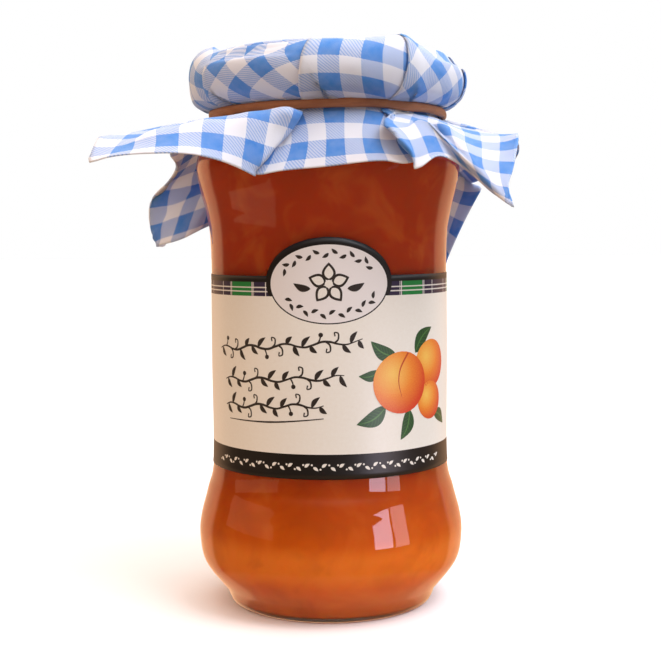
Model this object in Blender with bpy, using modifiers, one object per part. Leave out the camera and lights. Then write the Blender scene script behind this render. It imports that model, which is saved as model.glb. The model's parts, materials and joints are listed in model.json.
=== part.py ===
"""A waisted glass jar of jam with a twist lid, a paper label and a square cloth tied over the lid.

Metres, +Z up. The origin is the middle of the jar's foot, where its axis meets the surface it stands on,
and the front of the label faces -Y. Lengths below are in millimetres and azimuths in degrees, measured
from the front (-Y) towards +X.
"""

import math

import bmesh
import bpy
from mathutils import Vector

MM = 0.001
TURN_STEPS = 36
GAP = 0.3

# The glass jar
FOOT_RADIUS = 26.4
WAIST_RADIUS = 30.7
BELLY_RADIUS = 34.6
SHOULDER_RADIUS = 34.1
NECK_RADIUS = 27.6
FINISH_RADIUS = 30.4
MOUTH_RADIUS = 26.2
RIM_HEIGHT = 138.6
WALL = 2.3
FLOOR_HEIGHT = 5.6
FOOT_RING = (19.0, 20.5, 22.0)
FOOT_RING_DEPTH = 0.6

# The jam inside it
JAM_LEVEL = 128.6

# The twist lid
LID_RADIUS = 32.6
LID_TOP = 140.0
LID_BOTTOM = 130.2
LID_SHEET = 0.7

# The paper label
LABEL_BOTTOM = 36.8
LABEL_TOP = 85.8
LABEL_SHEET = 0.3
LABEL_HALF_ANGLE = 150.0
OVAL_CENTRE = 83.9
OVAL_HALF_WIDTH = 15.6
OVAL_HALF_HEIGHT = 10.8

# The cord of elastic that holds the cloth
BAND_HEIGHT = 126.4
BAND_TALL = 2.3
BAND_THICK = 1.4
BAND_INSIDE = 29.0

# The cloth, cut as a square, and the form it takes over the lid and under the elastic
CLOTH_SHEET = 0.6
CLOTH_NECK = BAND_INSIDE - GAP - CLOTH_SHEET / 2
SKIRT_START = BAND_HEIGHT - BAND_TALL / 2 - GAP - CLOTH_SHEET / 2 - 0.1
PLEAT_DEPTH = 0.7
CROWN_TILT = 0.5
SKIRT_TURN = 0.2


def material(name, colour, roughness, metallic=0.0, alpha=1.0):
    made = bpy.data.materials.new(name)
    made.use_nodes = True
    shader = made.node_tree.nodes["Principled BSDF"]
    shader.inputs["Base Color"].default_value = (*colour, 1.0)
    shader.inputs["Roughness"].default_value = roughness
    shader.inputs["Metallic"].default_value = metallic
    shader.inputs["Alpha"].default_value = alpha
    made.diffuse_color = (*colour, alpha)
    return made


def add_object(name, mesh, collection, finish, smooth_angle=40.0):
    mesh.materials.append(finish)
    mesh.shade_smooth()
    mesh.set_sharp_from_angle(angle=math.radians(smooth_angle))
    made = bpy.data.objects.new(name, mesh)
    collection.objects.link(made)
    return made


def curve_through(points, steps, closed=False):
    """Points on a Catmull-Rom curve through the given ones, with that many steps in each span."""
    points = [Vector(p) for p in points]
    count = len(points)
    spans = count if closed else count - 1
    found = []
    for i in range(spans):
        if closed:
            a, b, c, d = (points[(i + k) % count] for k in (-1, 0, 1, 2))
        else:
            a, b, c, d = (points[min(max(i + k, 0), count - 1)] for k in (-1, 0, 1, 2))
        for k in range(steps):
            t = k / steps
            found.append(
                0.5
                * (
                    2 * b
                    + (c - a) * t
                    + (2 * a - 5 * b + 4 * c - d) * t**2
                    + (3 * b - a - 3 * c + d) * t**3
                )
            )
    return found if closed else [*found, points[-1]]


def turned(name, profile, collection, finish):
    """A solid of revolution from (radius, height) pairs that run down its outer side."""
    mesh = bpy.data.meshes.new(name)
    points = [(radius * MM, 0.0, height * MM) for radius, height in profile]
    edges = [(i, i + 1) for i in range(len(points) - 1)]
    mesh.from_pydata(points, edges, [])
    made = bpy.data.objects.new(name, mesh)
    collection.objects.link(made)
    mesh.materials.append(finish)
    screw = made.modifiers.new("turn", "SCREW")
    screw.axis = "Z"
    screw.steps = screw.render_steps = TURN_STEPS
    screw.use_merge_vertices = True
    screw.merge_threshold = 0.00001
    screw.use_smooth_shade = True
    return made


def jar_outside():
    """The outer wall from the shoulder's top down to the foot, as (radius, height) pairs."""
    body = [
        (NECK_RADIUS, 123.6),
        (31.2, 120.6),
        (SHOULDER_RADIUS, 114.6),
        (33.4, 108.0),
        (31.7, 101.0),
        (WAIST_RADIUS, 92.0),
        (WAIST_RADIUS, 64.0),
        (WAIST_RADIUS, 38.0),
        (32.4, 29.6),
        (34.2, 22.6),
        (BELLY_RADIUS, 17.4),
        (33.4, 11.0),
        (28.8, 4.8),
    ]
    return [(p.x, p.y) for p in curve_through([(r, h, 0.0) for r, h in body], 2)]


def radius_at(height):
    """The jar's outer radius at a height on its body."""
    wall = jar_outside()
    for (upper_radius, upper), (lower_radius, lower) in zip(wall, wall[1:]):
        if lower <= height <= upper:
            share = (height - lower) / (upper - lower)
            return lower_radius + share * (upper_radius - lower_radius)
    return WAIST_RADIUS


def jar_inside():
    """The inner wall from the middle of the floor up to the neck."""
    belly = BELLY_RADIUS - WALL
    floor = [(0.0, FLOOR_HEIGHT), (18.0, FLOOR_HEIGHT + 0.3), (26.0, 7.8), (30.6, 12.4), (belly, 18.0)]
    wall = [
        (radius_at(height) - WALL, height)
        for height in (22.6, 29.6, 38.0, 64.0, 92.0, 101.0, 108.0, 114.0)
    ]
    return floor + wall + [(29.0, 119.6), (25.6, 123.8)]


def make_jar(collection, finish):
    inner_ring, middle_ring, outer_ring = FOOT_RING
    finish_wall = [
        (25.4, 127.6),
        (MOUTH_RADIUS, 131.0),
        (MOUTH_RADIUS, RIM_HEIGHT - 0.6),
        (MOUTH_RADIUS + 0.7, RIM_HEIGHT),
        (FINISH_RADIUS - 1.0, RIM_HEIGHT),
        (FINISH_RADIUS - 0.2, RIM_HEIGHT - 0.8),
        (FINISH_RADIUS - 0.2, 134.2),
        (FINISH_RADIUS, 132.8),
        (FINISH_RADIUS - 0.4, 131.4),
        (NECK_RADIUS + 0.2, 129.6),
        (NECK_RADIUS, 126.6),
    ]
    foot = [
        (27.6, 3.4),
        (FOOT_RADIUS + 0.6, 1.6),
        (FOOT_RADIUS, 0.5),
        (FOOT_RADIUS - 1.0, 0.0),
        (outer_ring, 0.0),
        (middle_ring, FOOT_RING_DEPTH),
        (inner_ring, 0.0),
        (0.0, 0.0),
    ]
    return turned("glass_jar", jar_inside() + finish_wall + jar_outside() + foot, collection, finish)


def make_jam(collection, finish):
    """The jam stands off the glass all round by the gap that two solids need."""
    wall = [(radius - GAP, height) for radius, height in reversed(jar_inside()[3:])]
    neck = [(0.0, JAM_LEVEL), (19.0, JAM_LEVEL - 0.1), (24.6, JAM_LEVEL + 0.5), (25.0, 127.4)]
    floor = [(26.0 - GAP, 7.8 + GAP), (18.0, FLOOR_HEIGHT + 0.3 + GAP), (0.0, FLOOR_HEIGHT + GAP)]
    return turned("jam", neck + wall + floor, collection, finish)


def make_lid(collection, finish):
    inner = LID_RADIUS - LID_SHEET
    profile = [
        (0.0, LID_TOP - 0.6),
        (24.0, LID_TOP - 0.6),
        (26.0, LID_TOP),
        (LID_RADIUS - 2.0, LID_TOP),
        (LID_RADIUS - 0.4, LID_TOP - 1.5),
        (LID_RADIUS - 0.2, LID_BOTTOM + 1.8),
        (LID_RADIUS + 0.1, LID_BOTTOM + 0.9),
        (LID_RADIUS, LID_BOTTOM),
        (inner - 0.2, LID_BOTTOM),
        (inner - 0.2, LID_TOP - 1.6),
        (inner - 1.0, LID_TOP - LID_SHEET - 0.3),
        (0.0, LID_TOP - LID_SHEET - 0.6),
    ]
    return turned("lid", profile, collection, finish)


def make_label(collection, finish):
    """A strip of paper round the waist, die-cut with half an oval standing above its top edge."""
    columns = 72
    mesh = bpy.data.meshes.new("label")
    shape = bmesh.new()
    stand_off = GAP + LABEL_SHEET / 2
    rows = []
    for i in range(columns + 1):
        angle = math.radians(LABEL_HALF_ANGLE * (2 * i / columns - 1))
        across = angle * WAIST_RADIUS / OVAL_HALF_WIDTH
        top = LABEL_TOP
        if abs(across) < 1:
            top = max(top, OVAL_CENTRE + OVAL_HALF_HEIGHT * math.sqrt(1 - across**2))
        heights = (LABEL_BOTTOM, 60.0, LABEL_TOP - 1.0, top)
        rows.append(
            [
                shape.verts.new(
                    (
                        (radius_at(height) + stand_off) * MM * math.sin(angle),
                        -(radius_at(height) + stand_off) * MM * math.cos(angle),
                        height * MM,
                    )
                )
                for height in heights
            ]
        )
    for left, right in zip(rows, rows[1:]):
        for k in range(len(left) - 1):
            shape.faces.new((left[k], right[k], right[k + 1], left[k + 1]))
    shape.to_mesh(mesh)
    shape.free()
    label = add_object("label", mesh, collection, finish)
    thicken(label, LABEL_SHEET)
    return label


def thicken(made, thickness):
    solid = made.modifiers.new("thickness", "SOLIDIFY")
    solid.thickness = thickness * MM
    solid.offset = 0.0


def make_band(collection, finish):
    """A flat-sided ring of elastic in the groove between the lid and the shoulder."""
    low = BAND_HEIGHT - BAND_TALL / 2
    high = BAND_HEIGHT + BAND_TALL / 2
    outside = BAND_INSIDE + BAND_THICK
    edge = 0.45
    profile = [
        (BAND_INSIDE, high - edge),
        (BAND_INSIDE + edge, high),
        (outside - edge, high),
        (outside, high - edge),
        (outside, low + edge),
        (outside - edge, low),
        (BAND_INSIDE + edge, low),
        (BAND_INSIDE, low + edge),
    ]
    return turned("elastic_band", profile + profile[:1], collection, finish)


# Where the cloth's hem goes: azimuth under the elastic, then the hem's own x, y and height. It runs
# round from the front-left corner, and the square's four corners are the ones marked.
HEM = [
    (-45, -52.8, -50.0, 112.8),  # front-left corner
    (-30, -34.0, -46.5, 113.4),
    (-12, -16.8, -41.0, 108.6),  # crease left of the front panel
    (-3, -8.0, -38.8, 109.8),
    (9, 4.0, -39.0, 111.2),
    (20, 14.5, -38.4, 112.8),
    (28, 20.0, -41.5, 109.4),  # crease right of the front panel
    (34, 25.4, -41.5, 113.8),
    (41, 32.0, -41.0, 110.2),
    (50, 43.4, -40.0, 101.6),  # front-right corner
    (57, 43.0, -26.0, 104.4),
    (67, 46.5, -14.5, 112.2),
    (82, 50.0, -2.0, 120.6),
    (97, 47.0, 9.0, 112.0),
    (105, 41.0, 14.5, 102.0),
    (116, 44.8, 25.0, 108.6),
    (134, 32.0, 36.0, 84.6),  # back-right corner
    (148, 24.0, 42.0, 105.0),
    (164, 12.0, 38.5, 109.5),
    (180, 0.0, 38.5, 108.2),
    (196, -13.0, 38.6, 109.2),
    (212, -26.0, 40.5, 107.0),
    (222, -36.0, 31.0, 99.2),
    (233, -48.4, 21.0, 93.4),  # back-left corner
    (243, -47.6, 17.0, 105.0),
    (252, -42.0, 14.0, 116.0),
    (264, -45.0, 4.0, 120.4),
    (277, -49.0, -9.0, 119.4),
    (292, -50.5, -26.0, 119.0),
    (306, -52.2, -42.0, 119.2),
]

# The cloth's outline over the lid, from the middle out and down to the elastic
PUFF = [
    (14.0, 141.4),
    (25.0, 141.4),
    (30.4, 141.2),
    (34.0, 139.9),
    (35.6, 136.0),
    (35.4, 132.0),
    (34.2, 128.8),
    (CLOTH_NECK, 128.1),
    (CLOTH_NECK, SKIRT_START + 0.4),
]
PLEATS = (-12.0, 28.0, 67.0, 105.0, 148.0, 212.0, 252.0, 292.0)
SKIRT_ROWS = 5


def pleat_at(azimuth):
    """How far in the cloth is tucked at an azimuth, from 0 to 1."""
    away = min(abs((azimuth - pleat + 180) % 360 - 180) for pleat in PLEATS)
    return max(0.0, 1 - away / 4.0)


def cloth_rings():
    """The cloth's rings of points, from the innermost one over the lid to the hem."""
    around = [math.radians(azimuth) for azimuth, *_ in HEM]
    around = [angle + (math.tau if angle < around[0] else 0) for angle in around]
    steps = 3
    spokes = curve_through([(math.sin(a), -math.cos(a), 0.0) for a in around], steps, closed=True)
    hem = curve_through([point for _, *point in HEM], steps, closed=True)
    directions = [spoke.normalized() for spoke in spokes]
    azimuths = [math.degrees(math.atan2(d.x, -d.y)) for d in directions]
    rings = []
    for radius, height in PUFF:
        tuck = PLEAT_DEPTH * min(1.0, max(0.0, (radius - CLOTH_NECK) / 5.0))
        lift = CROWN_TILT * (height - PUFF[-1][1]) / (PUFF[0][1] - PUFF[-1][1]) * radius / LID_RADIUS
        rings.append(
            [
                direction * (radius - tuck * pleat_at(azimuth))
                + Vector((0.0, 0.0, height + lift * direction.x))
                for direction, azimuth in zip(directions, azimuths)
            ]
        )
    start = [direction * CLOTH_NECK + Vector((0.0, 0.0, SKIRT_START)) for direction in directions]
    for row in range(1, SKIRT_ROWS + 1):
        rings.append([over_shoulder(a, b, row / SKIRT_ROWS) for a, b in zip(start, hem)])
    return rings


def over_shoulder(start, end, share):
    """A point on the arc that the cloth takes out over the jar's shoulder and down to its hem."""
    turn = start.lerp(end, 0.5)
    turn.z = start.z - SKIRT_TURN * (start.z - end.z)
    return start.lerp(turn, share).lerp(turn.lerp(end, share), share)


def make_cloth(collection, finish):
    """A loft from ring to ring, closed over the lid by a fan of triangles."""
    mesh = bpy.data.meshes.new("cloth_cover")
    shape = bmesh.new()
    rings = [[shape.verts.new(point * MM) for point in ring] for ring in cloth_rings()]
    count = len(rings[0])
    crown = shape.verts.new((0.0, 0.0, PUFF[0][1] * MM))
    for i in range(count):
        j = (i + 1) % count
        shape.faces.new((crown, rings[0][i], rings[0][j]))
        for inner, outer in zip(rings, rings[1:]):
            shape.faces.new((inner[i], outer[i], outer[j], inner[j]))
    shape.to_mesh(mesh)
    shape.free()
    cloth = add_object("cloth_cover", mesh, collection, finish)
    thicken(cloth, CLOTH_SHEET)
    return cloth


def main():
    for old in list(bpy.data.objects):
        bpy.data.objects.remove(old)
    collection = bpy.data.collections.new("jam_jar")
    bpy.context.scene.collection.children.link(collection)
    make_jar(collection, material("clear_glass", (0.86, 0.9, 0.88), 0.05, alpha=0.35))
    make_jam(collection, material("peach_jam", (0.55, 0.11, 0.01), 0.3))
    make_lid(collection, material("gold_lid", (0.75, 0.6, 0.3), 0.3, metallic=1.0))
    make_label(collection, material("label_paper", (0.82, 0.74, 0.62), 0.6))
    make_band(collection, material("brown_elastic", (0.25, 0.07, 0.02), 0.6))
    make_cloth(collection, material("gingham_cloth", (0.4, 0.52, 0.78), 0.9))


main()
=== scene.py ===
# The looks of a jar of peach jam with a gingham cloth tied over its lid. Lengths are in millimetres, and
# mm turns them into Blender's metres. Azimuths are degrees from the front (-Y) towards +X.

import math

import bmesh
import bpy
import numpy as np
from mathutils import Matrix, Vector
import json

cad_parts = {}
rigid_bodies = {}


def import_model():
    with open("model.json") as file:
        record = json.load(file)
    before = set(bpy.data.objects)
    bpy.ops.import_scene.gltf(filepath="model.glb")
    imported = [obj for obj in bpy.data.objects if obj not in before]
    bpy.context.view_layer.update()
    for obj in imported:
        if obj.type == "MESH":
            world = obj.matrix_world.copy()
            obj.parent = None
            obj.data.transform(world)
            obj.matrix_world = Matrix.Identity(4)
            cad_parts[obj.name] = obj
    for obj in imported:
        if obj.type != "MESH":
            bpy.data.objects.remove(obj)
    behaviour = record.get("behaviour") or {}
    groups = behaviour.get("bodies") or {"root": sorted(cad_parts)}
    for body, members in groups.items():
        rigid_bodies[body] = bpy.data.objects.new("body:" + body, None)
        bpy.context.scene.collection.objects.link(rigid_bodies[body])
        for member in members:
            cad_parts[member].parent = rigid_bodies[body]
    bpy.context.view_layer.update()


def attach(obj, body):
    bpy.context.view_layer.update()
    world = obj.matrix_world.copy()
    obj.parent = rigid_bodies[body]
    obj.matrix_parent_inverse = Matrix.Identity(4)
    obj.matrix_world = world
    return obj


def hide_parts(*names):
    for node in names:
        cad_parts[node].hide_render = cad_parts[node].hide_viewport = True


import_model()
mm = 0.001


# Nodes and materials

def linear(hexColour):
    channels = [int(hexColour[i:i + 2], 16) / 255 for i in (1, 3, 5)]
    return (*[c / 12.92 if c <= 0.04045 else ((c + 0.055) / 1.055) ** 2.4 for c in channels], 1.0)


def fillSockets(node, inputs):
    # Links the sockets among these and sets the plain values, by the name or number of the node's input
    for name, value in inputs.items() if isinstance(inputs, dict) else enumerate(inputs):
        if isinstance(value, bpy.types.NodeSocket):
            node.id_data.links.new(value, node.inputs[name])
        else:
            node.inputs[name].default_value = value


def addNode(tree, kind, inputs=(), out=0, **settings):
    # Adds a node with its settings and links, and gives back one of its outputs
    node = tree.nodes.new("ShaderNode" + kind)
    for key, value in settings.items():
        setattr(node, key, value)
    fillSockets(node, inputs)
    return node.outputs[out]


def newMaterial(name):
    made = bpy.data.materials.new(name)
    made.use_nodes = True
    return made, made.node_tree, made.node_tree.nodes["Principled BSDF"]


def onJar(radius, angle, height):
    # A point round the jar's axis, with the angle in radians from the front
    return Vector((radius * math.sin(angle), -radius * math.cos(angle), height)) * mm


def meshOf(name, shape, turnOut=True):
    for face in shape.faces:
        face.smooth = True
    if turnOut:
        bmesh.ops.recalc_face_normals(shape, faces=shape.faces)
    mesh = bpy.data.meshes.new(name)
    shape.to_mesh(mesh)
    shape.free()
    return mesh


def addObject(name, mesh, material, slotName, *replaced):
    piece = bpy.data.objects.new(name, mesh)
    bpy.context.scene.collection.objects.link(piece)
    mesh.materials.append(material)
    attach(piece, "root")
    if replaced:
        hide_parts(*replaced)
    return piece


# The gingham cloth

gingham = {
    "left": -66.0,  # the square's edges, measured from over the middle of the lid
    "right": 73.0,
    "front": -71.0,
    "back": 68.0,
    "check": 5.0,
    "thread": 0.22,  # coarser than the real yarn's 0.15 or so, which would be too fine to show
    "checkShift": (-1.5, 1.5),  # where the checks fall on the square
    "thickness": 0.35,
    "yarnPatch": 2.857,  # how far the dye keeps one depth
    "slub": 0.769,  # how long the thick places of a yarn are
    "rows": 20,  # of points between the elastic and the hem
    "rounds": 400,  # of settling
    "quickRounds": 60,
    "firm": 0.9,  # how far a round mends a thread's length, and that of a slanting line between threads
    "shear": 0.12,
    "crush": 0.12,  # how hard it is to press together along a thread, against pulling it
    "softFirst": 0.5,  # how strongly bends are evened out, at first and at last
    "softLast": 0.06,
    "pinch": 2.2,  # how far round it a ridge's point pulls the cloth along
    "ridgePull": 0.35,  # how much of the way a round moves the ridges and the hem to their places
    "hemPull": 0.25,
    "white": "#dcdbe2",
    "blue": "#4582ca",
}


def clothMaterial():
    # Yarn-dyed cotton gingham in a 2/2 twill: crisp squares, the mid-blue ones with fine slanting lines
    material, tree, shader = newMaterial("gingham_cotton")
    uv = addNode(tree, "UVMap", uv_map="flat")
    yarns = addNode(tree, "TexNoise", {"Vector": uv, "Scale": 1 / gingham["yarnPatch"], "Detail": 4.0})
    fade = addNode(tree, "Math", [yarns, 0.3, -0.09], operation="MULTIPLY_ADD")  # the dye takes unevenly
    white, blue = linear(gingham["white"]), linear(gingham["blue"])
    fadedBlue = addNode(tree, "Mix", {0: fade, 6: blue, 7: white}, 2, data_type="RGBA")
    colours, counts, ribs = [], [], []
    warpAndWeft = addNode(tree, "SeparateXYZ", [uv]).node.outputs[:2]
    for place, shift in zip(warpAndWeft, gingham["checkShift"]):
        shifted = addNode(tree, "Math", [place, shift], operation="SUBTRACT")
        repeats = addNode(tree, "Math", [shifted, 2 * gingham["check"]], operation="DIVIDE")
        share = addNode(tree, "Math", [repeats], operation="FRACT")
        isWhite = addNode(tree, "Math", [share, 0.5], operation="GREATER_THAN")
        colours.append(addNode(tree, "Mix", {0: isWhite, 6: fadedBlue, 7: white}, 2, data_type="RGBA"))
        threads = addNode(tree, "Math", [place, gingham["thread"]], operation="DIVIDE")
        counts.append(addNode(tree, "Math", [threads], operation="FLOOR"))
        halfTurns = addNode(tree, "Math", [threads, math.pi], operation="MULTIPLY")
        wave = addNode(tree, "Math", [halfTurns], operation="SINE")
        ribs.append(addNode(tree, "Math", [wave], operation="ABSOLUTE"))
    step = addNode(tree, "Math", counts, operation="ADD")
    cycle = addNode(tree, "Math", [step, 4.0], operation="FLOORED_MODULO")
    warpOnTop = addNode(tree, "Math", [cycle, 1.5], operation="LESS_THAN")
    # Neighbouring threads blend a little to the eye
    seen = addNode(tree, "Math", [warpOnTop, 0.36, 0.32], operation="MULTIPLY_ADD")
    woven = addNode(tree, "Mix", {0: seen, 6: colours[1], 7: colours[0]}, 2, data_type="RGBA")
    height = addNode(tree, "Mix", {0: warpOnTop, 2: ribs[1], 3: ribs[0]})
    slub = addNode(tree, "TexNoise", {"Vector": uv, "Scale": 1 / gingham["slub"], "Detail": 3.0})
    relief = addNode(tree, "Math", [height, slub], operation="ADD")
    fillSockets(shader, {
        "Base Color": woven,
        "Normal": addNode(tree, "Bump", {"Strength": 0.35, "Distance": 0.00008, "Height": relief}),
        "Roughness": 0.85,
        "Specular IOR Level": 0.3,
        "Subsurface Weight": 0.7,  # so thin that light from behind glows through
        "Subsurface Radius": (1.0, 1.0, 1.0),
        "Subsurface Scale": 0.0009,
        "Sheen Weight": 0.15,
        "Sheen Roughness": 0.5,
    })
    return material


# The cloth over the lid, from its crown to where the elastic grips it: (radius, height, distance on the
# square)
puff = [
    (28.0, 141.7, 30.0),
    (31.2, 141.0, 34.0),
    (33.8, 138.9, 36.4),
    (35.2, 135.8, 39.7),
    (35.2, 132.8, 43.5),
    (34.0, 129.9, 47.3),
    (31.4, 128.1, 50.0),
    (28.9, 127.2, 51.6),
    (28.9, 124.9, 54.3),
]
swell = [  # how far the shoulder of the cover stands over or under that, by azimuth
    (-180, 0.6), (-150, -0.8), (-120, 0.6), (-85, 2.3), (-62, -0.6), (-38, -1.7), (-20, -0.8), (-8, 0.0),
    (15, 0.0), (28, 0.8), (36, 1.6), (46, -0.3), (57, -1.3), (75, -1.8), (100, -0.6), (125, 0.6), (150, -0.8),
    (180, 0.6),
]
overLid = [(28.0, 140.7), (31.4, 140.6), (33.2, 137.4)]  # (radius, height): the lid lets it lie no lower
pleats = {
    "edges": (-7.5, 34.4),  # on each side of the square, where the outer edge of each fold lies, in degrees
    "starts": ((34.0, -7.5), (38.0, -9.4), (44.0, -10.4), (52.0, -11.5)),  # (distance, azimuth on the jar)
    "tucked": 20.7,  # how much of the square each fold hides where it is deepest, in degrees
    "layer": 0.42,  # how far a layer lies over the next
    "sinks": 5.0,  # how many degrees past a fold its top layer reaches the one below, at the lid
    "sinksAfter": 12,  # and on the skirt, after a fold and before one
    "sinksBefore": 9,
    "puckers": ((0.22, 19, 1.3), (0.16, 31, 0.0)),  # folds by the elastic: (size, number round it, turn)
    "spokes": (14, 16, 7, 8, 15),  # points between one fold line and the next
}

# Each fold below the elastic: the flat azimuths where its hidden part starts and ends, the azimuth of its
# crease on the jar, and whether that part is tucked under the side after it (1) or before it (-1)
skirtFolds = [
    (-18.6, -6.9, -12.0, -1),
    (13.0, 34.4, 25.5, 1),
    (62.5, 82.5, 78.3, 1),
    (103.0, 124.4, 116.9, 1),
    (152.5, 172.5, 169.7, 1),
    (193.0, 214.4, 208.2, 1),
    (242.5, 262.5, 261.1, 1),
    (283.0, 315.7, 299.6, 1),
]

# Where the hem goes, by side of the square: how far across or along it a point lies, then its place in the
# air. The front follows the photograph, and the rest hangs in the same way. Where the hem turns back for one
# point, that point is the inside of a fold.
hemRoute = {
    "front": [
        (-66.0, -52.3, -51.0, 111.8), (-61.5, -48.2, -52.8, 112.7), (-56.5, -42.9, -53.8, 113.2),
        (-46.5, -32.9, -53.3, 113.3), (-41.5, -28.0, -51.0, 112.9), (-36.5, -23.5, -48.2, 111.9),
        (-31.5, -19.6, -45.5, 110.4), (-28.0, -16.0, -43.2, 108.6), (-23.3, -20.0, -40.6, 110.4),
        (-18.6, -16.4, -40.6, 109.0), (-11.5, -10.3, -39.6, 110.1), (-1.5, -0.6, -38.6, 111.1),
        (8.5, 9.0, -38.6, 112.2), (13.5, 13.8, -39.0, 112.3), (18.0, 18.0, -39.5, 111.5),
        (25.7, 24.3, -36.4, 113.6), (33.5, 19.3, -42.5, 110.0), (36.0, 21.3, -42.2, 110.6),
        (38.5, 23.6, -40.6, 112.8), (41.0, 25.6, -38.8, 113.7), (43.5, 27.8, -37.3, 113.0),
        (48.5, 31.6, -37.0, 110.4), (54.0, 35.0, -40.0, 107.1), (60.0, 36.6, -44.0, 105.0),
        (66.0, 38.5, -48.5, 103.1), (73.0, 40.2, -53.5, 101.2),
    ],
    "right": [
        (-63.5, 39.8, -47.5, 105.6), (-58.5, 41.3, -43.8, 108.6), (-53.5, 42.6, -40.0, 111.6),
        (-48.5, 43.7, -36.3, 115.1), (-43.5, 44.7, -32.6, 117.9), (-38.0, 45.4, -27.5, 119.2),
        (-30.0, 45.2, -19.8, 118.6), (-24.5, 43.2, -14.8, 117.6), (-19.0, 46.2, -19.6, 118.0),
        (-10.0, 48.5, -11.0, 116.8), (0.0, 49.0, -1.5, 114.6), (10.0, 46.4, 8.0, 112.6),
        (20.0, 43.0, 17.0, 111.0), (26.0, 41.0, 22.0, 110.0), (33.0, 37.6, 27.0, 109.4),
        (40.0, 42.7, 20.5, 108.9), (44.0, 41.3, 22.5, 105.5), (50.5, 38.7, 26.0, 100.0),
        (63.0, 34.0, 30.0, 88.8), (68.0, 32.7, 31.4, 85.2),
    ],
    "back": [
        (62.0, 30.4, 36.5, 93.0), (52.0, 27.4, 40.0, 100.5), (42.0, 23.5, 42.2, 107.0),
        (34.0, 17.5, 43.6, 109.6), (27.0, 12.0, 43.0, 110.0), (21.0, 6.5, 40.0, 110.4),
        (15.0, 11.8, 44.3, 109.4), (5.0, 3.0, 46.0, 108.4), (-5.0, -6.4, 45.2, 108.0),
        (-15.0, -16.0, 43.4, 107.4), (-21.0, -22.4, 41.2, 106.4), (-27.0, -27.5, 36.5, 106.2),
        (-32.0, -24.5, 39.5, 103.4), (-36.5, -33.6, 24.5, 98.0), (-41.5, -38.1, 20.4, 95.5),
        (-46.5, -41.1, 19.5, 94.0), (-51.5, -44.7, 21.0, 93.0), (-56.5, -48.6, 25.5, 92.6),
        (-61.5, -49.0, 29.6, 92.7), (-66.0, -47.2, 33.4, 93.2),
    ],
    "left": [
        (61.0, -48.2, 31.0, 99.4), (54.0, -48.2, 28.5, 105.4), (48.0, -45.5, 24.0, 109.4),
        (41.0, -42.0, 17.6, 112.4), (34.0, -40.2, 10.4, 114.2), (26.0, -41.6, 3.0, 116.8),
        (20.0, -40.4, -3.5, 117.2), (14.0, -43.8, 1.5, 117.4), (5.0, -45.4, -7.0, 117.4),
        (-5.0, -46.0, -16.6, 117.2), (-13.0, -47.2, -24.0, 117.4), (-20.0, -48.0, -30.0, 117.0),
        (-29.0, -48.4, -35.5, 115.2), (-38.0, -49.8, -28.5, 116.4), (-48.0, -51.8, -36.5, 117.2),
        (-58.5, -52.2, -42.5, 117.6),
    ],
}

# Ridges and creases between the hem and the elastic that the photograph shows: the place on the square, then
# the place in the air
ridges = [
    (-51.5, -59.5, -38.6, -43.5, 119.4),
    (-41.5, -58.5, -28.7, -41.5, 121.5),
    (-31.5, -56.0, -18.7, -36.8, 123.7),
    (-23.0, -51.8, -10.0, -33.5, 125.2),
    (-26.5, -66.0, -14.2, -41.8, 113.1),
    (-21.5, -58.5, -9.5, -36.6, 119.7),
    (-17.5, -53.5, -5.8, -31.4, 124.3),
    (28.2, -64.0, 15.9, -39.2, 117.2),
    (28.5, -55.0, 13.4, -34.6, 121.2),
    (52.0, -42.0, 27.7, -27.5, 121.5),
    (57.5, -50.0, 32.0, -35.5, 116.0),
    (62.5, -57.0, 34.9, -41.5, 110.6),
    (67.5, -64.0, 38.0, -46.8, 105.5),
    (43.0, -60.0, 24.5, -33.6, 120.2),
    (-58.5, 63.0, -50.0, 27.0, 96.5),
    (-61.0, 58.5, -50.3, 27.5, 102.0),
    (-61.0, 53.5, -49.8, 26.0, 106.6),
]

jarOutside = [  # (radius, height): what the cloth may not pass through
    (29.3, 125.5),
    (29.5, 123.6),
    (32.6, 120.6),
    (35.2, 114.6),
    (34.5, 108.0),
    (32.8, 101.0),
    (31.8, 92.0),
    (31.8, 80.0),
]


def onCurve(a, b, c, d, t):
    # A point between b and c on the smooth curve through these four
    bend = (2 * a - 5 * b + 4 * c - d) * t**2 + (3 * b - a - 3 * c + d) * t**3
    return 0.5 * (2 * b + (c - a) * t + bend)


def routeThrough(points, share, closed):
    # A point part of the way along a smooth route
    count = len(points)
    i = int(math.floor(share)) if closed else min(int(math.floor(share)), count - 2)
    near = [(i + k) % count if closed else min(max(i + k, 0), count - 1) for k in (-1, 0, 1, 2)]
    return onCurve(*(points[k] for k in near), share - i)


def hemFlat(angle):
    # Where a spoke from the middle of the square meets its edge
    across, along = math.sin(angle), -math.cos(angle)
    side = gingham["right" if across > 0 else "left"], gingham["back" if along > 0 else "front"]
    reach = min(edge / part for edge, part in zip(side, (across, along)) if abs(part) > 1e-9)
    return np.array([reach * across, reach * along])


def perimeter(flat):
    # How far along the hem a point lies, from the front-left corner
    u, v = flat
    width, depth = gingham["right"] - gingham["left"], gingham["back"] - gingham["front"]
    if v <= gingham["front"] + 1e-6:
        return u - gingham["left"]
    if u >= gingham["right"] - 1e-6:
        return width + v - gingham["front"]
    if v >= gingham["back"] - 1e-6:
        return width + depth + gingham["right"] - u
    return 2 * width + depth + gingham["back"] - v


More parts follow.
